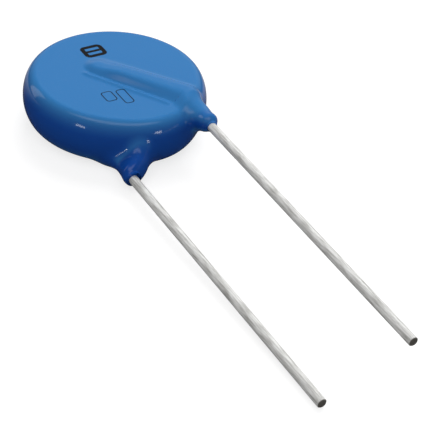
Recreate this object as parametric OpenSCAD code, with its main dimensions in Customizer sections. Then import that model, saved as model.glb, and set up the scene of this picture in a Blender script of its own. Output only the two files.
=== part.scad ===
// Radial-leaded metal oxide varistor, 14 mm disc class, dipped in blue epoxy.
// The part lies on its back: +Z is the front face, the leads run towards -Y.
// All lengths are in millimetres.

/* [Ceramic disc] */
// Diameter of the zinc oxide disc
disc_d = 14; // [12:0.1:15]
// Thickness of the zinc oxide disc
disc_t = 2; // [1.4:0.1:2.6]
// Chamfer on the disc's two edges
disc_chamfer = 0.25; // [0.05:0.05:0.5]
// Diameter of the fired silver on each face
electrode_d = 12.4; // [10:0.1:13]
// Thickness of the fired silver
electrode_t = 0.05; // [0.02:0.01:0.1]

/* [Leads] */
// Distance between the two leads
lead_pitch = 7.5; // [6:0.1:9]
// Diameter of the tinned copper wire
lead_d = 0.8; // [0.6:0.05:1]
// Length of both leads, from the disc's coated edge to their cut ends
lead_reach = 30.5; // [15:0.1:40]
// Sideways shift of both leads from the disc's centre line
lead_shift = 0.3; // [-0.6:0.05:0.6]
// Distance from the disc's centre line to the bend of each lead, towards the leads
lead_bend_y = 4.8; // [4:0.1:5.5]
// Radius of the bend, on the wire's centre line
lead_bend_r = 1.6; // [0.8:0.1:2.5]
// Length of the front wire past the disc's centre
front_overrun = 1.7; // [0.5:0.1:4]
// Length of the back wire past the disc's centre
back_overrun = 3.6; // [2.5:0.1:4.5]
// Cut chamfer round each lead's end
lead_tip_chamfer = 0.08; // [0.02:0.01:0.2]

/* [Solder] */
// Solder film between the wire and the silver
solder_film = 0.03; // [0.01:0.01:0.08]
// Solder skin over the top of the wire
solder_skin = 0.06; // [0.03:0.01:0.15]
// Half width of the solder's foot on the silver
solder_foot = 1.1; // [0.8:0.05:1.6]
// Distance that the solder stays inside the silver's edge
solder_inset = 0.5; // [0.3:0.1:1.2]

/* [Coating] */
// Thickness of resin round the disc's edge
coat_edge = 1; // [0.7:0.05:1.6]
// Thickness of resin over each face of the ceramic
coat_face = 1.2; // [1.1:0.05:1.6]
// How far the rounded side reaches in over the face
coat_round = 1.2; // [0.9:0.05:2]
// Sag of the resin towards the leads, past the round edge
coat_sag = 0.55; // [0:0.05:0.8]
// Height of the ridge over the front lead, above the face
front_rise = 0.5; // [0.3:0.05:0.9]
// Height of the ridge over the back lead, above the face
back_rise = 0.3; // [0.2:0.05:0.9]
// Softness of each ridge's foot on the face
ridge_soft = 0.9; // [0.5:0.05:1.5]
// How far the resin runs down the front lead, from the disc's coated edge
front_run = 1.3; // [1.2:0.1:4]
// How far the resin runs down the back lead, from the disc's coated edge
back_run = 1.7; // [1.2:0.1:4]
// Distance past the rim over which each ridge sinks
ridge_fall = 0.8; // [0.5:0.1:2]
// Radius of each neck's root, inside the disc's edge
neck_r = 1.4; // [1:0.1:1.8]
// How far each neck's root leans in towards the gap between the leads
neck_lean = 1.5; // [0:0.1:2]
// Distance from where the rounded side begins out to each neck's root
neck_in = 2; // [1:0.1:2.5]
// Softness of the join between each neck and the rim
neck_soft = 1.1; // [0.5:0.1:2]
// Thickness of resin round the wire at the end of the run
lip_t = 0.1; // [0.08:0.01:0.3]

/* [Hidden] */
$fn = 96;

wire_r = lead_d / 2;
body_r = disc_d / 2 + coat_edge;
body_h = disc_t / 2 + coat_face;
silver_z = disc_t / 2 + electrode_t;
wire_z = silver_z + solder_film + wire_r;
lip_r = wire_r + lip_t;

// Each side is [x of the lead, run of the resin, rise of the ridge, overrun of the wire]. The
// back one is made as a front one, then turned over.
FRONT = [lead_pitch / 2 + lead_shift, front_run, front_rise, front_overrun];
BACK = [lead_pitch / 2 - lead_shift, back_run, back_rise, back_overrun];

// The laid wire crosses the disc's centre, so its angle follows from where it bends.
function lay_angle(side) = atan2(side[0], lead_bend_y);
function lay_length(side) = norm([side[0], lead_bend_y]);
function lay_way(side) = [-sin(lay_angle(side)), cos(lay_angle(side)), 0];
function exit_y(side) = -(body_r + side[1]);
function free_length(side) = lead_reach - side[1];

// The part rests on the crest of the ridge over the back lead.
rest_depth = max([for (i = [0 : 24]) let (
        past = max(0, i / 16 - 1),
        over = [-BACK[0], -lead_bend_y, 0] * min(1, i / 16) - [0, past * lead_bend_y, 0]
    ) cast(over, [0, 0, -1], 0, body_h * 2, 16)]);

// The free leads droop until the back one touches the surface that the ridge rests on.
// The laid wire is a hair thinner than the free length that it is plugged into.
thin = 0.015;
root_in = 0.5;
droop = asin((rest_depth - wire_z - wire_r) / (root_in + free_length(BACK)));

tip_y = exit_y(BACK) + root_in - (root_in + free_length(BACK)) * cos(droop);
centre_y = -(body_r + tip_y) / 2;

function mix(a, b, t) = a + (b - a) * t;
function clamp(v) = max(0, min(1, v));
function ease(t) = let (u = clamp(t)) u * u * (3 - 2 * u);

// Puts a shape drawn round the disc's centre where the part rests.
module at_rest() {
    translate([0, centre_y, rest_depth]) children();
}

// Turns a front shape over to the back.
module turned_over() {
    rotate([0, 180, 0]) children();
}

// A closed solid through a row of rings with as many points each
module tube(rings) {
    count = len(rings);
    n = len(rings[0]);
    faces = concat(
        [[for (j = [n - 1 : -1 : 0]) j]],
        [[for (j = [0 : n - 1]) (count - 1) * n + j]],
        [for (i = [0 : count - 2]) for (j = [0 : n - 1]) let (k = (j + 1) % n)
            each [[i * n + j, i * n + k, (i + 1) * n + j],
                  [(i + 1) * n + j, i * n + k, (i + 1) * n + k]]]
    );
    polyhedron([for (ring = rings) each ring], faces);
}

module ceramic_shape() {
    r = disc_d / 2;
    h = disc_t / 2;
    c = disc_chamfer;
    rotate_extrude()
        polygon([[0, -h], [r - c, -h], [r, -h + c], [r, h - c], [r - c, h], [0, h]]);
}

module electrode_shape() {
    translate([0, 0, disc_t / 2]) cylinder(d = electrode_d, h = electrode_t);
}

// Centre line of the laid wire, from inside the free length to its inner end
function wire_path(side) = let (
    angle = lay_angle(side),
    bend = [side[0], -lead_bend_y - lead_bend_r * tan(angle / 2), wire_z],
    root = [side[0], exit_y(side) + root_in * 0.6, wire_z]
) concat(
    [root, bend],
    [for (i = [1 : 6]) let (a = angle * i / 6) bend + lead_bend_r * [cos(a) - 1, sin(a), 0]],
    [[0, 0, wire_z] + side[3] * lay_way(side)]
);

// The laid wire: flats swept along its level path
module laid_wire(side) {
    path = wire_path(side);
    r = wire_r - 3 * thin;
    flats = 20;
    last = len(path) - 1;
    tube([for (i = [0 : last]) let (
            ahead = path[min(i + 1, last)] - path[max(i - 1, 0)],
            across = [ahead[1], -ahead[0], 0] / norm(ahead)
        ) [for (j = [0 : flats - 1]) let (a = 360 * j / flats)
            path[i] + r * (cos(a) * across + [0, 0, sin(a)])]]);
}

// One lead as a front one: laid across the disc, bent, and round where it is free.
module lead_shape(side, turn) {
    long = free_length(side);
    c = lead_tip_chamfer;
    root_r = wire_r - 2 * thin;
    laid_wire(side);
    translate([side[0], exit_y(side) + root_in, wire_z]) rotate([90 + turn, 0, 0])
        rotate_extrude()
            polygon([[0, 0], [root_r, 0], [wire_r, root_in], [wire_r, root_in + long - c],
                [wire_r - c, root_in + long], [0, root_in + long]]);
}

module front_lead_shape() {
    lead_shape(FRONT, droop);
}

module back_lead_shape() {
    turned_over() lead_shape(BACK, -droop);
}

// Section of the solder: a hollow fillet from its foot on the silver up to a skin over the wire
function solder_half() = let (
    waist = wire_r + solder_skin,
    steps = 6
) concat(
    [for (i = [0 : steps]) let (a = 90 * i / steps)
        [waist + (solder_foot - waist) * (1 - sin(a)), (solder_film + wire_r) * (1 - cos(a))]],
    [for (i = [1 : steps]) let (a = 90 * i / steps)
        [waist * cos(a), solder_film + wire_r + waist * sin(a)]]
);

function solder_ring(x, share) = let (
    half = solder_half(),
    section = concat(half, [for (i = [len(half) - 2 : -1 : 0]) [-half[i][0], half[i][1]]])
) [for (p = section) [x, p[0] * share, p[1] * share]];

// The bead of solder along the laid wire, rounded at its two ends
module solder_bead(side) {
    inner = -side[3];
    outer = min(electrode_d / 2 - solder_inset - solder_foot, lay_length(side));
    ends = [for (i = [0 : 4]) 80 - 20 * i];
    rotate([0, 0, -90 + lay_angle(side)]) translate([0, 0, silver_z])
        tube(concat(
            [for (a = ends) solder_ring(outer + solder_foot * sin(a), cos(a))],
            [for (i = [4 : -1 : 0]) solder_ring(inner - solder_foot * sin(ends[i]), cos(ends[i]))]
        ));
}

// The bead without the wire that runs through it
module solder_shape(side) {
    difference() {
        solder_bead(side);
        laid_wire(side);
    }
}

/* The coating's skin is the surface where skin() is zero. It is negative inside the resin. */

// How far a point is past the body's edge, in plan. The edge sags towards the leads.
function past_edge(p) = let (r = norm([p[0], p[1]]))
    r - body_r - coat_sag * pow(max(0, -p[1] / max(r, 0.001)), 4);

// Depth in the dipped body: flat faces, and a side wall rounded like half an ellipse
function body_depth(p) = let (
    q = max(0, past_edge(p) + coat_round) / coat_round,
    w = abs(p[2]) / body_h,
    slope = norm([q / coat_round, w / body_h]),
    reach = norm([q, w])
) slope < 0.001 ? -body_h : reach * (reach - 1) / slope;

// Distance from a straight stretch of wire
function wire_distance(p, a, b) = let (
    t = clamp((p - a) * (b - a) / ((b - a) * (b - a)))
) norm(p - a - t * (b - a));

// Where the rounded side begins, in line with a lead
function rim_y(side) = coat_round - sqrt(pow(body_r, 2) - pow(side[0], 2));

// Depth in the resin draped over one lead. It thins to a lip past the rim.
function drape_depth(p, side) = let (
    corner = [side[0], -lead_bend_y, wire_z],
    inner = [0, 0, wire_z] + side[3] * lay_way(side),
    beyond = [side[0], exit_y(side) - 2, wire_z],
    r = mix(body_h + side[2] - wire_z, lip_r, ease((rim_y(side) - p[1]) / ridge_fall))
) min(wire_distance(p, inner, corner), wire_distance(p, corner, beyond)) - r;

// Depth in the neck, which leans in towards the gap between the leads as it widens
function neck_depth(p, side) = let (
    root_y = rim_y(side) - neck_in,
    share = pow(clamp((p[1] - exit_y(side)) / (root_y - exit_y(side))), 0.7),
    over = max(0, exit_y(side) - 2 - p[1]) + max(0, p[1] - root_y),
    r = mix(lip_r, neck_r, share),
    z = min(wire_z, body_h + side[2] * 0.6 - r)
) norm([p[0] - side[0] + neck_lean * share, over, p[2] - z]) - r;

// Joins two depths with a fillet
function soft_join(a, b, soft) = let (h = max(0, soft - abs(a - b)) / soft)
    min(a, b) - h * h * soft / 4;

// One lead's drape and neck joined to what is already there
function with_lead(depth, p, side) = let (
    soft = 0.02 + neck_soft * ease((past_edge(p) + coat_round) / (coat_round + 0.4))
) soft_join(soft_join(depth, drape_depth(p, side), ridge_soft), neck_depth(p, side), soft);

function skin(p) = with_lead(with_lead(body_depth(p), p, FRONT), [-p[0], p[1], -p[2]], BACK);

// Distance from a point inside the resin to the skin
function cast(from, way, near, far, steps) = steps == 0 ? (near + far) / 2 :
    let (half = (near + far) / 2)
    skin(from + way * half) < 0 ? cast(from, way, half, far, steps - 1) : cast(from, way, near, half, steps - 1);

// The skin is read on upright sheets: square to the front lead down its neck, then fanned
// over the disc about a point in the gap between the leads, then square to the back lead.
// A sheet is [point inside, level direction, how far to look out, how far to look back].
gap_y = -(body_r + coat_sag + 0.35);
neck_reach = 2.6;
NECK_SHEETS = 7;
FAN_SHEETS = 44;
function neck_sheet(x, z, run_y, t) =
    [[x, mix(run_y, gap_y, t), z], [sign(x), 0, 0], neck_reach, neck_reach];
function fan_sheet(t) = let (
    a = 180 * (t + 0.1 * sin(360 * t)),
    way = [cos(a), sin(a), 0],
    chord = max(0, sin(a)) * body_r,
    side_x = a < 90 ? FRONT[0] - lead_shift : BACK[0] + lead_shift,
    z = a < 90 ? wire_z : -wire_z,
    share = ease(sin(a) * 2.2)
) [[lead_shift, gap_y, z * (1 - share)] + way * mix(side_x, chord, share), way,
    mix(neck_reach, body_r * 2.2, share), min(mix(neck_reach, chord, share), mix(side_x, chord, share))];

SHEETS = concat(
    [for (i = [0 : NECK_SHEETS - 1]) neck_sheet(FRONT[0], wire_z, exit_y(FRONT), i / NECK_SHEETS)],
    [for (i = [0 : FAN_SHEETS]) fan_sheet(i / FAN_SHEETS)],
    [for (i = [NECK_SHEETS - 1 : -1 : 0]) neck_sheet(-BACK[0], -wire_z, exit_y(BACK), i / NECK_SHEETS)]
);

RING_POINTS = 44;
function skin_ring(sheet) = let (
    way = sheet[1],
    out = cast(sheet[0], way, 0, sheet[2], 16),
    back = cast(sheet[0], -way, 0, sheet[3], 16),
    centre = sheet[0] + way * (out - back) / 2,
    half = (out + back) / 2,
    spread = half - min(half, body_h) * 0.9
) [for (j = [0 : RING_POINTS - 1]) let (
        u = 4 * j / RING_POINTS - (j < RING_POINTS / 2 ? 1 : 3),
        a = 90 * (0.55 * u + 0.45 * pow(u, 3)) + (j < RING_POINTS / 2 ? 90 : 270),
        from = centre + way * spread * cos(a),
        dir = way * cos(a) + [0, 0, sin(a)],
        room = (sheet[3] + (out - back) / 2 + spread * cos(a)) / max(0.001, -cos(a)),
        far = min(sheet[2], body_r * 1.5, cos(a) < 0 ? room : body_r * 2)
    ) from + dir * cast(from, dir, 0, far, 16)];

module skin_shape() {
    tube([for (sheet = SHEETS) skin_ring(sheet)]);
}

// Ceramic disc of sintered zinc oxide
module varistor_disc() {
    color("dimgray") at_rest() ceramic_shape();
}

// Silver fired on the front of the disc
module front_electrode() {
    color("gainsboro") at_rest() electrode_shape();
}

// Silver fired on the back of the disc
module back_electrode() {
    color("gainsboro") at_rest() turned_over() electrode_shape();
}

// Tinned copper wire on the front of the disc
module front_lead() {
    color("silver") at_rest() front_lead_shape();
}

// Tinned copper wire on the back of the disc
module back_lead() {
    color("silver") at_rest() back_lead_shape();
}

// Solder that joins the front lead to the silver
module front_solder() {
    color("lightgray") at_rest() solder_shape(FRONT);
}

// Solder that joins the back lead to the silver
module back_solder() {
    color("lightgray") at_rest() turned_over() solder_shape(BACK);
}

// One skin of epoxy, filled by the pieces that it was dipped over
module coating() {
    color("steelblue") at_rest() difference() {
        skin_shape();
        ceramic_shape();
        electrode_shape();
        turned_over() electrode_shape();
        solder_bead(FRONT);
        turned_over() solder_bead(BACK);
        front_lead_shape();
        back_lead_shape();
    }
}

coating();
varistor_disc();
front_electrode();
back_electrode();
front_lead();
back_lead();
front_solder();
back_solder();
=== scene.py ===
# A round disc varistor with two straight wire leads, lying on its back.
# The sections follow the order in which the real one is put together.
import math
import bmesh
import bpy
import numpy as np
from mathutils import Matrix, Vector


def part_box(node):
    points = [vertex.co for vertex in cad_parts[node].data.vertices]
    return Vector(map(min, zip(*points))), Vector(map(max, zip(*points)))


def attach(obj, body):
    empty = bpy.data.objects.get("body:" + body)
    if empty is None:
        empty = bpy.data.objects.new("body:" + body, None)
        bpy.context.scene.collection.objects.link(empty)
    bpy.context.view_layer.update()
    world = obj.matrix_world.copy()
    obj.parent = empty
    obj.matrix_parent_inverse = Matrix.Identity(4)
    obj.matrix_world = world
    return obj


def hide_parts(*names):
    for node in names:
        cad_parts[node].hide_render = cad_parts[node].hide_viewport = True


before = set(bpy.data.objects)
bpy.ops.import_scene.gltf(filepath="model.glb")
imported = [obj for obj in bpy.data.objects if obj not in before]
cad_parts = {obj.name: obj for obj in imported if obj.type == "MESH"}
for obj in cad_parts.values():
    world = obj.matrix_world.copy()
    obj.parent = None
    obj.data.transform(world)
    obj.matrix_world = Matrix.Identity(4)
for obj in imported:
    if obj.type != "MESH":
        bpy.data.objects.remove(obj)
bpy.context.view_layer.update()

# ---------------------------------------------------------------------------------------
# Camera: looks down on the front face from the leads' side, with a long lens.
# ---------------------------------------------------------------------------------------
MM = 0.001
disc_low, disc_high = (Vector(corner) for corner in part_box("varistor_disc"))
DISC_CENTRE = (disc_low + disc_high) / 2

view_azimuth = math.radians(-34.324)
view_height = math.radians(37.314)
view_roll = math.radians(5.952)
view_distance = 133.779 * MM
view_aside = 10.457 * MM
view_above = -10.127 * MM

towards_eye = Vector((math.sin(view_azimuth) * math.cos(view_height),
                      -math.cos(view_azimuth) * math.cos(view_height),
                      math.sin(view_height)))
level_right = Vector((math.cos(view_azimuth), math.sin(view_azimuth), 0))
level_up = towards_eye.cross(level_right)
rolled_right = level_right * math.cos(view_roll) + level_up * math.sin(view_roll)
rolled_up = level_up * math.cos(view_roll) - level_right * math.sin(view_roll)

camera_data = bpy.data.cameras.new("camera")
camera_data.sensor_width = 36
camera_data.lens = 124.13
camera_data.clip_start = 0.005
camera_data.clip_end = 10
camera = bpy.data.objects.new("camera", camera_data)
bpy.context.scene.collection.objects.link(camera)
camera.matrix_world = Matrix.LocRotScale(
    DISC_CENTRE + towards_eye * view_distance + level_right * view_aside + level_up * view_above,
    Matrix((rolled_right, rolled_up, towards_eye)).transposed().to_quaternion(), None)
bpy.context.scene.camera = camera


# ---------------------------------------------------------------------------------------
# Ceramic disc: zinc oxide powder pressed and sintered, a fine-grained dark grey ceramic.
# It is sealed in the resin.
# ---------------------------------------------------------------------------------------
def linear(hex_colour):
    channels = [int(hex_colour[i:i + 2], 16) / 255 for i in (1, 3, 5)]
    return [c / 12.92 if c <= 0.04045 else ((c + 0.055) / 1.055) ** 2.4 for c in channels] + [1]


def add(tree, kind, settings=None, **links):
    """Adds a node, sets its properties, then links or sets its inputs by name or number."""
    node = tree.nodes.new(kind)
    for name, value in (settings or {}).items():
        setattr(node, name, value)
    for name, value in links.items():
        numbered = name[0] == "i" and name[1:].isdigit()
        socket = node.inputs[int(name[1:]) if numbered else name.replace("_", " ")]
        if isinstance(value, bpy.types.NodeSocket):
            tree.links.new(value, socket)
        else:
            socket.default_value = value
    return node


def new_material(name):
    material = bpy.data.materials.new(name)
    material.use_nodes = True
    tree = material.node_tree
    tree.nodes.clear()
    shader = add(tree, "ShaderNodeBsdfPrincipled")
    add(tree, "ShaderNodeOutputMaterial", Surface=shader.outputs[0])
    place = add(tree, "ShaderNodeTexCoord").outputs["Object"]
    return material, tree, shader, place


def dress(node_name, material):
    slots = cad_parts[node_name].material_slots
    for slot in slots:
        slot.material = material
    if not slots:
        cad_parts[node_name].data.materials.append(material)


# Sintered zinc oxide: grains of about 0.05 mm mottle the grey.
oxide, tree, shader, place = new_material("sintered_zinc_oxide")
grain_size = 0.05 * MM
grain = add(tree, "ShaderNodeTexVoronoi", Vector=place, Scale=1 / grain_size)
tone = add(tree, "ShaderNodeMix", {"data_type": "RGBA"}, i0=grain.outputs["Distance"],
           i6=linear("#2c2e2c"), i7=linear("#454741"))
tree.links.new(tone.outputs[2], shader.inputs["Base Color"])
shader.inputs["Roughness"].default_value = 0.7
dress("varistor_disc", oxide)

# ---------------------------------------------------------------------------------------
# Electrodes: silver paste screened on both faces and fired, a pale matt metal.
# ---------------------------------------------------------------------------------------
silver, tree, shader, place = new_material("fired_silver")
paste_size = 0.12 * MM
paste = add(tree, "ShaderNodeTexNoise", Vector=place, Scale=1 / paste_size, Detail=3)
tone = add(tree, "ShaderNodeMix", {"data_type": "RGBA"}, i0=paste.outputs["Fac"],
           i6=linear("#c9c6bd"), i7=linear("#e3e1da"))
tree.links.new(tone.outputs[2], shader.inputs["Base Color"])
shader.inputs["Metallic"].default_value = 1
shader.inputs["Roughness"].default_value = 0.5
dress("front_electrode", silver)
dress("back_electrode", silver)

# ---------------------------------------------------------------------------------------
# Solder: tin, wicked along each laid wire and frozen smooth.
# ---------------------------------------------------------------------------------------
solder, tree, shader, place = new_material("frozen_tin_solder")
frost_size = 0.2 * MM
frost = add(tree, "ShaderNodeTexNoise", Vector=place, Scale=1 / frost_size, Detail=2)
tone = add(tree, "ShaderNodeMix", {"data_type": "RGBA"}, i0=frost.outputs["Fac"],
           i6=linear("#a9abac"), i7=linear("#cfd0cf"))
tree.links.new(tone.outputs[2], shader.inputs["Base Color"])
shader.inputs["Metallic"].default_value = 1
shader.inputs["Roughness"].default_value = 0.35
dress("front_solder", solder)
dress("back_solder", solder)

# ---------------------------------------------------------------------------------------
# Leads: copper wire hot-dipped in tin and cut to length. The tin has dulled, so it scatters
# light more than it mirrors it, and the cut ends are darker.
# ---------------------------------------------------------------------------------------
streak_across = 0.14 * MM
streak_along = 1.6 * MM
cut_starts = 0.08 * MM
cut_full = 0.04 * MM
tin, tree, shader, place = new_material("hot_dipped_tin")
streaks = add(tree, "ShaderNodeMapping", Vector=place,
              Scale=(1 / streak_across, 1 / streak_along, 1 / streak_across))
streak = add(tree, "ShaderNodeTexNoise", Vector=streaks.outputs[0], Scale=1.0, Detail=4)
streak = add(tree, "ShaderNodeMapRange", Value=streak.outputs["Fac"], From_Min=0.32, From_Max=0.62)
tone = add(tree, "ShaderNodeMix", {"data_type": "RGBA"}, i0=streak.outputs[0],
           i6=linear("#b9b8b4"), i7=linear("#f6f6f4"))
tip_y = min(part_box(name)[0][1] for name in ("front_lead", "back_lead"))
along = add(tree, "ShaderNodeSeparateXYZ", Vector=place)
cut = add(tree, "ShaderNodeMapRange", Value=along.outputs["Y"], From_Min=tip_y + cut_starts,
          From_Max=tip_y + cut_full)
tone = add(tree, "ShaderNodeMix", {"data_type": "RGBA"}, i0=cut.outputs[0], i6=tone.outputs[2],
           i7=linear("#66635e"))
tree.links.new(tone.outputs[2], shader.inputs["Base Color"])
shader.inputs["Metallic"].default_value = 0.15
shader.inputs["Roughness"].default_value = 0.4
dress("front_lead", tin)
dress("back_lead", tin)

# ---------------------------------------------------------------------------------------
# Coating: the soldered disc is dipped in blue epoxy with its leads up. The resin drapes
# over the laid wires as two ridges and runs a little way along the leads.
# ---------------------------------------------------------------------------------------
body_r = 8.0
body_h = 2.2
side_in = 1.2
sag = 0.6
sag_turn = 0.087
sag_power = 6.76
wire_r = 0.4
wire_z = 1.48
bend_y = -5.5
foot_inner = 1.26
foot_rim = 1.97
foot_far = 1.8
crest_flat = 0.2
near_hollow = 0.3
start_share = 0.6
start_long = 2.5
bead_out = 0.22
bead_wide = 0.24
groove_in = 0.12
groove_wide = 0.14
groove_share = 0.2
crest_y = -5.84
crest_power = 2.9
crest_under = 0.14
neck_soft = 1.0
neck_power = 0.74
lip_r = wire_r + 0.06
lip_bulb = 0.08
lip_bulb_turn = 0.73
lip_bulb_up = 0.55
lip_bulb_wide = 0.45
film_long = 0.6
film_deep = 0.15
FRONT = {"turned": 1, "lead_x": 4.05, "run": 1.55, "rise": 0.6, "inner": 1.7, "bead": 0.1,
         "crest_r": 0.91, "neck_r": 1.11, "neck_lean": 0.0, "neck_in": 1.78, "neck_drop": 0.1,
         "crest_soft": 0.96}
BACK = {"turned": -1, "lead_x": 3.45, "run": 1.93, "rise": 0.4, "inner": 3.6, "bead": 0.0,
        "crest_r": 0.77, "neck_r": 1.39, "neck_lean": 2.18, "neck_in": 1.56, "neck_drop": 0.17,
        "crest_soft": 1.7}


def clamp(value):
    return np.clip(value, 0, 1)


def ease(value):
    share = clamp(value)
    return share * share * (3 - 2 * share)


def soft_join(first, second, soft):
    near = np.maximum(0, soft - np.abs(first - second)) / soft
    return np.minimum(first, second) - near * near * soft / 4


def ridge_height(p, side):
    """Height of the resin over the flat face, where it drapes over the laid wire."""
    angle = math.atan2(side["lead_x"], -bend_y)
    long = math.hypot(side["lead_x"], bend_y)
    along_laid = np.clip(p[:, 0] * math.sin(angle) - p[:, 1] * math.cos(angle), -side["inner"], long)
    from_laid = np.hypot(p[:, 0] - along_laid * math.sin(angle), p[:, 1] + along_laid * math.cos(angle))
    free_y = np.minimum(p[:, 1], bend_y)
    from_free = np.hypot(p[:, 0] - side["lead_x"], p[:, 1] - free_y)
    laid = from_laid < from_free
    off = np.where(laid, from_laid, from_free)
    near = np.where(laid, -p[:, 0] * math.cos(angle) - p[:, 1] * math.sin(angle), side["lead_x"] - p[:, 0])
    near = near / np.maximum(off, 1e-6)
    along = np.where(laid, along_laid, long + bend_y - free_y)
    share = clamp((along + side["inner"]) / (long + side["inner"] + 1))
    foot_near = foot_inner + (foot_rim - foot_inner) * share
    foot = foot_far + (foot_near - foot_far) * ease((near + 1) / 2)
    gate = ease((near - 0.8) / 0.2) * ease((long + 0.2 - along) / 1.5)
    groove = np.exp(-((off - foot_near + groove_in) / groove_wide) ** 2)
    bead = np.exp(-((off - foot_near - bead_out) / bead_wide) ** 2) - groove_share * groove
    spread = clamp((off - crest_flat) / (foot - crest_flat)) ** (1 + near_hollow * ease((near + 1) / 2))
    start = start_share + (1 - start_share) * ease((along + side["inner"]) / start_long)
    return side["rise"] * start * (0.5 + 0.5 * np.cos(math.pi * spread)) + side["bead"] * gate * bead


def skin(p):
    """Zero on the resin's skin and negative inside it, in millimetres from the disc's centre."""
    across = np.maximum(np.hypot(p[:, 0], p[:, 1]), 1e-6)
    down = clamp((math.sin(sag_turn) * p[:, 0] - math.cos(sag_turn) * p[:, 1]) / across)
    past = across - body_r - sag * down ** sag_power
    q = np.maximum(0, past + side_in) / side_in
    turned_over = p * np.array([-1, 1, -1])
    h = body_h + np.where(p[:, 2] > 0, ridge_height(p, FRONT), ridge_height(turned_over, BACK))
    w = np.abs(p[:, 2]) / h
    reach = np.hypot(q, w)
    depth = reach * (reach - 1) / np.maximum(np.hypot(q / side_in, w / h), 1e-6)
    soft = 0.02 + neck_soft * ease((past + 2.3) / 2.9)
    for side in (FRONT, BACK):
        x = side["turned"] * p[:, 0] - side["lead_x"]
        y = p[:, 1]
        z = side["turned"] * p[:, 2]
        end_y = -(body_r + side["run"])
        round_wire = np.arctan2(side["turned"] * (z - wire_z), side["turned"] * x)
        up = y - end_y
        film = (lip_r + film_deep - wire_r) * clamp(1 - up / film_long) ** 2
        bulb = lip_bulb * np.exp(-((up - lip_bulb_up) / lip_bulb_wide) ** 2)
        film -= bulb * (0.5 + 0.5 * np.cos(round_wire - lip_bulb_turn))
        hold = clamp(up / (crest_y - end_y)) ** crest_power
        crest_z = wire_z + (body_h + side["rise"] - crest_under - wire_z - side["crest_r"]) * hold
        crest = np.sqrt(x ** 2 + (z - crest_z) ** 2 + np.maximum(0, y - crest_y) ** 2)
        crest += film - lip_r - (side["crest_r"] - lip_r) * hold
        root_y = side_in - math.sqrt(body_r ** 2 - side["lead_x"] ** 2) - side["neck_in"]
        share = clamp(up / (root_y - end_y)) ** neck_power
        neck_r = lip_r + (side["neck_r"] - lip_r) * share
        neck_z = np.minimum(wire_z, body_h - side["neck_drop"] - neck_r)
        leant = x + side["neck_lean"] * share
        neck = np.sqrt(leant ** 2 + (z - neck_z) ** 2 + np.maximum(0, y - root_y) ** 2)
        depth = soft_join(depth, soft_join(crest, neck - neck_r + film, side["crest_soft"]), soft)
    return depth


# A rough blank: half the disc's profile is spun round, and closed round stretches of resin
# stand for the ridges and necks.
blank = bmesh.new()
steps = 8
edge = [blank.verts.new((0, 0, body_h))]
for i in range(2 * steps + 1):
    a = math.pi / 2 - math.pi * i / (2 * steps)
    edge.append(blank.verts.new((body_r - side_in + side_in * math.cos(a), 0, body_h * math.sin(a))))
edge.append(blank.verts.new((0, 0, -body_h)))
profile = [blank.edges.new(pair) for pair in zip(edge, edge[1:])]
bmesh.ops.spin(blank, geom=edge + profile, cent=(0, 0, 0), axis=(0, 0, 1), angle=2 * math.pi,
               steps=96, use_merge=True)
bmesh.ops.remove_doubles(blank, verts=blank.verts, dist=1e-4)


def add_stretch(mesh, start, end, start_r, end_r):
    """A closed round stretch of resin between two points."""
    way = end - start
    turn = way.to_track_quat("Z", "Y").to_matrix().to_4x4()
    bmesh.ops.create_cone(mesh, cap_ends=True, segments=32, radius1=start_r, radius2=end_r,
                          depth=way.length, matrix=Matrix.Translation((start + end) / 2) @ turn)


for side in (FRONT, BACK):
    angle = math.atan2(side["lead_x"], -bend_y)
    flip = Matrix.Diagonal((side["turned"], 1, side["turned"], 1))
    end_y = -body_r - side["run"]
    inner = side["inner"] + 0.4
    crest_z = body_h + side["rise"] - side["crest_r"]
    laid = [((-math.sin(angle) * inner, math.cos(angle) * inner, wire_z), 0.9),
            ((side["lead_x"], bend_y, wire_z), 1.0)]
    free = [((side["lead_x"], crest_y, crest_z), side["crest_r"]), ((side["lead_x"], end_y, wire_z), lip_r)]
    root_y = side_in - math.sqrt(body_r ** 2 - side["lead_x"] ** 2) - side["neck_in"]
    neck = []
    for i in range(9):
        share = (1 - i / 8) ** neck_power
        r = lip_r + (side["neck_r"] - lip_r) * share
        neck.append(((side["lead_x"] - side["neck_lean"] * share, root_y + (end_y - root_y) * i / 8,
                      min(wire_z, body_h - side["neck_drop"] - r)), r))
    # Each run of stops becomes a chain of stretches, turned over for the back.
    for stops in (laid, free, neck):
        for (start, start_r), (end, end_r) in zip(stops, stops[1:]):
            add_stretch(blank, flip @ Vector(start), flip @ Vector(end), start_r, end_r)
bmesh.ops.recalc_face_normals(blank, faces=blank.faces)
blank_mesh = bpy.data.meshes.new("coating_blank")
blank.to_mesh(blank_mesh)
blank.free()

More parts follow.
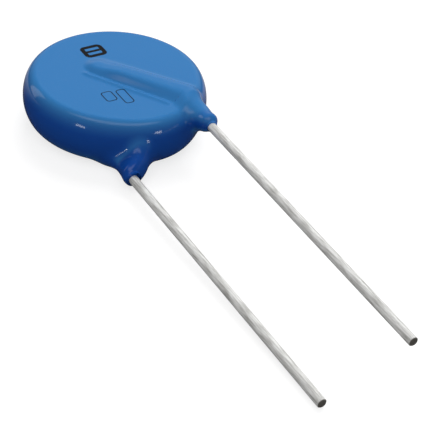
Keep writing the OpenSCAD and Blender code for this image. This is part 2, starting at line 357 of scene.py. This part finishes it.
# The blank is remeshed as one skin and its points are walked onto the resin's surface, twice,
# so that the second mesh is even.
skin_step = 0.11
walk_steps = 12
longest_step = 0.25
probe = 0.01
coating_mesh = blank_mesh
for round_trip in range(2):
    blank_piece = bpy.data.objects.new("coating_blank", coating_mesh)
    bpy.context.scene.collection.objects.link(blank_piece)
    remesh = blank_piece.modifiers.new("one_skin", "REMESH")
    remesh.mode = "VOXEL"
    remesh.voxel_size = skin_step
    coating_mesh = bpy.data.meshes.new_from_object(
        blank_piece.evaluated_get(bpy.context.evaluated_depsgraph_get()))
    bpy.data.objects.remove(blank_piece)
    points = np.empty(len(coating_mesh.vertices) * 3)
    coating_mesh.vertices.foreach_get("co", points)
    points = points.reshape(-1, 3)
    for attempt in range(walk_steps):
        depth = skin(points)
        slope = np.stack([(skin(points + probe * axis) - skin(points - probe * axis)) / (2 * probe)
                          for axis in np.eye(3)], axis=1)
        steep = np.maximum(np.sum(slope * slope, axis=1), 0.05)
        step = slope * (depth / steep)[:, None]
        length = np.linalg.norm(step, axis=1, keepdims=True)
        points -= step * np.minimum(1, longest_step / np.maximum(length, 1e-9))
    coating_mesh.vertices.foreach_set("co", points.ravel())

# Painted shade: a value that is 1 where the resin stands steep or has run down past the rim, stronger low
# on the wall, which darkens the steep sides and necks to a deeper blue.
outward = slope / np.maximum(np.linalg.norm(slope, axis=1, keepdims=True), 1e-9)
steep = 1 - np.abs(outward[:, 2])
lower_shade = 0.9 + 0.1 * ease((1.4 - points[:, 2]) / 2)
run_down_shade = ease((-points[:, 1] - 7.4) / 1.2) * (0.4 + 0.6 * ease((1.5 - points[:, 2]) / 3))
points = points * MM + np.array(DISC_CENTRE)
coating_mesh.vertices.foreach_set("co", points.ravel())
coating_mesh.update()
painted_shade = coating_mesh.attributes.new("painted_shade", "FLOAT", "POINT")
painted_shade.data.foreach_set("value", np.maximum(steep * lower_shade, run_down_shade))
for polygon in coating_mesh.polygons:
    polygon.use_smooth = True
coating_mesh.normals_split_custom_set_from_vertices(outward)
coating_mesh.name = "coating_skin"
coating_skin = bpy.data.objects.new("coating_skin", coating_mesh)
bpy.context.scene.collection.objects.link(coating_skin)

# Dipped epoxy: a gloss skin, with painted shade in a deeper blue on its steep sides, low wall and necks,
# and with the faint orange peel that resin keeps when it cures.
peel_size = 0.8 * MM
epoxy, tree, shader, place = new_material("dipped_blue_epoxy")
painted_shade = add(tree, "ShaderNodeAttribute", {"attribute_name": "painted_shade"})
shade_share = add(tree, "ShaderNodeMapRange", {"interpolation_type": "SMOOTHSTEP"},
                  Value=painted_shade.outputs["Fac"], From_Min=0.12, From_Max=0.8)
# The face blue, mixed towards a deeper blue painted as shade where the painted shade value is high.
blue = add(tree, "ShaderNodeMix", {"data_type": "RGBA"}, i0=shade_share.outputs[0],
           i6=linear("#357bba"), i7=linear("#13499e"))

# Ink: plain pad-printed boxes, a bold one with a bar across it and two in thin outline.
# Each item is one box's centre, half size, corner and half stroke, in millimetres.
ink_edge = 0.03
flat = add(tree, "ShaderNodeMapping", Vector=place, Scale=(1 / MM, 1 / MM, 0),
           Location=(-DISC_CENTRE.x / MM, -DISC_CENTRE.y / MM, 0))
INK_BOXES = [((-0.15, 4.0), (0.55, 0.42), 0.3, 0.2), ((-0.15, 4.0), (0.65, 0.0), 0.0, 0.16),
             ((-2.25, -3.05), (0.22, 0.45), 0.25, 0.045), ((-1.0, -3.55), (0.15, 0.8), 0.25, 0.045)]
ink = 0.0
for centre, half, corner, stroke in INK_BOXES:
    here = add(tree, "ShaderNodeVectorMath", {"operation": "SUBTRACT"}, i0=flat.outputs[0],
               i1=(*centre, 0))
    here = add(tree, "ShaderNodeVectorMath", {"operation": "ABSOLUTE"}, i0=here.outputs[0])
    here = add(tree, "ShaderNodeVectorMath", {"operation": "SUBTRACT"}, i0=here.outputs[0],
               i1=(*half, 0))
    here = add(tree, "ShaderNodeVectorMath", {"operation": "MAXIMUM"}, i0=here.outputs[0],
               i1=(0, 0, 0))
    away = add(tree, "ShaderNodeVectorMath", {"operation": "LENGTH"}, i0=here.outputs[0])
    away = add(tree, "ShaderNodeMath", {"operation": "SUBTRACT"}, i0=away.outputs["Value"], i1=corner)
    away = add(tree, "ShaderNodeMath", {"operation": "ABSOLUTE"}, i0=away.outputs[0])
    line = add(tree, "ShaderNodeMapRange", Value=away.outputs[0], From_Min=stroke + ink_edge,
               From_Max=stroke - ink_edge)
    ink = add(tree, "ShaderNodeMath", {"operation": "MAXIMUM"}, i0=line.outputs[0], i1=ink).outputs[0]
height = add(tree, "ShaderNodeSeparateXYZ", Vector=place)
front = add(tree, "ShaderNodeMath", {"operation": "GREATER_THAN"}, i0=height.outputs["Z"],
            i1=DISC_CENTRE.z + 2 * MM)
inked = add(tree, "ShaderNodeMath", {"operation": "MULTIPLY"}, i0=ink, i1=front.outputs[0])
tone = add(tree, "ShaderNodeMix", {"data_type": "RGBA"}, i0=inked.outputs[0], i6=blue.outputs[2],
           i7=linear("#06080a"))
tree.links.new(tone.outputs[2], shader.inputs["Base Color"])
shader.inputs["Roughness"].default_value = 0.1
shader.inputs["IOR"].default_value = 1.55
peel = add(tree, "ShaderNodeTexNoise", Vector=place, Scale=1 / peel_size, Detail=2)
bump = add(tree, "ShaderNodeBump", Height=peel.outputs["Fac"], Strength=0.12, Distance=0.05 * MM)
tree.links.new(bump.outputs[0], shader.inputs["Normal"])
coating_skin.data.materials.clear()
coating_skin.data.materials.append(epoxy)
dress("coating", epoxy)
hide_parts("coating")
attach(coating_skin, "root")

# ---------------------------------------------------------------------------------------
# Floor, lamps and world: a plain white table in soft studio light. Gloss doesn't see the
# white that the camera sees. It sees a darker room, pale beyond the part and dark before it.
# ---------------------------------------------------------------------------------------
floor_size = 3.0
pale_from, pale_by = 12 * MM, 24 * MM
dark_from, dark_by = 26 * MM, 36 * MM
sheen_level = 0.42
floor_bm = bmesh.new()
bmesh.ops.create_grid(floor_bm, x_segments=1, y_segments=1, size=floor_size / 2)
floor_mesh = bpy.data.meshes.new("floor")
floor_bm.to_mesh(floor_mesh)
floor_bm.free()
floor = bpy.data.objects.new("floor", floor_mesh)
bpy.context.scene.collection.objects.link(floor)
far_way = Vector((-math.sin(view_azimuth), math.cos(view_azimuth), 0))
paper = bpy.data.materials.new("white_paper")
paper.use_nodes = True
tree = paper.node_tree
tree.nodes.clear()
rays = add(tree, "ShaderNodeLightPath")
matt = add(tree, "ShaderNodeBsdfDiffuse", Color=linear("#9c9c9c"))
glow = add(tree, "ShaderNodeEmission", Color=(1, 1, 1, 1), Strength=0.76)
lit = add(tree, "ShaderNodeAddShader", i0=matt.outputs[0], i1=glow.outputs[0])
bounce = add(tree, "ShaderNodeBsdfDiffuse", Color=linear("#a0a0a0"))
place = add(tree, "ShaderNodeTexCoord").outputs["Object"]
beyond = add(tree, "ShaderNodeVectorMath", {"operation": "DOT_PRODUCT"}, i0=place, i1=far_way)
fade = add(tree, "ShaderNodeMapRange", {"interpolation_type": "SMOOTHSTEP"}, Value=beyond.outputs["Value"],
           From_Min=pale_from, From_Max=pale_by, To_Min=0.03, To_Max=sheen_level)
far_end = add(tree, "ShaderNodeMapRange", {"interpolation_type": "SMOOTHSTEP"},
              Value=beyond.outputs["Value"], From_Min=dark_by, From_Max=dark_from,
              To_Min=0.05, To_Max=sheen_level)
fade = add(tree, "ShaderNodeMath", {"operation": "MINIMUM"}, i0=fade.outputs[0], i1=far_end.outputs[0])
sheen = add(tree, "ShaderNodeEmission", Color=(1, 1, 1, 1), Strength=fade.outputs[0])
other = add(tree, "ShaderNodeMixShader", i0=rays.outputs["Is Glossy Ray"], i1=bounce.outputs[0],
            i2=sheen.outputs[0])
seen = add(tree, "ShaderNodeMixShader", i0=rays.outputs["Is Camera Ray"], i1=other.outputs[0],
           i2=lit.outputs[0])
add(tree, "ShaderNodeOutputMaterial", Surface=seen.outputs[0])
floor_mesh.materials.append(paper)

panel_rise = 0.87
panel_fade = 0.16
world = bpy.data.worlds.new("studio")
bpy.context.scene.world = world
world.use_nodes = True
tree = world.node_tree
tree.nodes.clear()
rays = add(tree, "ShaderNodeLightPath")
room = add(tree, "ShaderNodeBackground", Color=(0.32, 0.32, 0.32, 1), Strength=1.0)
white = add(tree, "ShaderNodeBackground", Color=(1, 1, 1, 1), Strength=1.0)
way = add(tree, "ShaderNodeTexCoord").outputs["Generated"]
beyond = add(tree, "ShaderNodeVectorMath", {"operation": "DOT_PRODUCT"}, i0=way, i1=far_way)
wall = add(tree, "ShaderNodeMapRange", {"interpolation_type": "SMOOTHSTEP"}, Value=beyond.outputs["Value"],
           From_Min=0.68, From_Max=1.0, To_Min=0.05, To_Max=0.35)
rise = add(tree, "ShaderNodeSeparateXYZ", Vector=way)
level = add(tree, "ShaderNodeMath", {"operation": "SUBTRACT"}, i0=rise.outputs["Z"],
            i1=panel_rise)
level = add(tree, "ShaderNodeMath", {"operation": "ABSOLUTE"}, i0=level.outputs[0])
panel = add(tree, "ShaderNodeMapRange", {"interpolation_type": "SMOOTHSTEP"}, Value=level.outputs[0],
            From_Min=panel_fade, From_Max=0.0, To_Min=0.0, To_Max=1.1)
near_half = add(tree, "ShaderNodeMapRange", {"interpolation_type": "SMOOTHSTEP"},
                Value=beyond.outputs["Value"], From_Min=0.0, From_Max=-0.3)
panel = add(tree, "ShaderNodeMath", {"operation": "MULTIPLY"}, i0=panel.outputs[0], i1=near_half.outputs[0])
gloss = add(tree, "ShaderNodeMath", {"operation": "MAXIMUM"}, i0=wall.outputs[0], i1=panel.outputs[0])
studio = add(tree, "ShaderNodeBackground", Color=(1, 1, 1, 1), Strength=gloss.outputs[0])
direct = add(tree, "ShaderNodeMath", {"operation": "MAXIMUM"}, i0=rays.outputs["Is Camera Ray"],
             i1=rays.outputs["Is Transmission Ray"])
other = add(tree, "ShaderNodeMixShader", i0=rays.outputs["Is Glossy Ray"], i1=room.outputs[0],
            i2=studio.outputs[0])
seen = add(tree, "ShaderNodeMixShader", i0=direct.outputs[0], i1=other.outputs[0],
           i2=white.outputs[0])
add(tree, "ShaderNodeOutputWorld", Surface=seen.outputs[0])

lamp_distance = 0.6


def add_lamp(name, azimuth, height, wide, high, power):
    """A soft lamp that faces the disc, at a bearing from the leads' side."""
    az, el = math.radians(azimuth), math.radians(height)
    way = Vector((math.sin(az) * math.cos(el), -math.cos(az) * math.cos(el), math.sin(el)))
    data = bpy.data.lights.new(name, "AREA")
    data.shape = "RECTANGLE"
    data.size = wide
    data.size_y = high
    data.energy = power
    lamp = bpy.data.objects.new(name, data)
    lamp.matrix_world = Matrix.LocRotScale(DISC_CENTRE + way * lamp_distance,
                                           way.to_track_quat("Z", "Y"), None)
    bpy.context.scene.collection.objects.link(lamp)
    return lamp


# The key and fill give the light, and only the windows show in the gloss.
add_lamp("key", 132, 42, 0.5, 0.5, 3.5).visible_glossy = False
add_lamp("fill", -34, 62, 0.5, 0.5, 1.1).visible_glossy = False
add_lamp("left_window", -148, 18, 0.18, 0.4, 0.2)
for name, azimuth, height in (("window_a", 15, 4), ("window_b", 15, 8),
                              ("window_c", -70, 9), ("window_d", -70, 13)):
    add_lamp(name, azimuth, height, 0.1, 0.014, 0.05)

bpy.context.scene.view_settings.view_transform = "Standard"
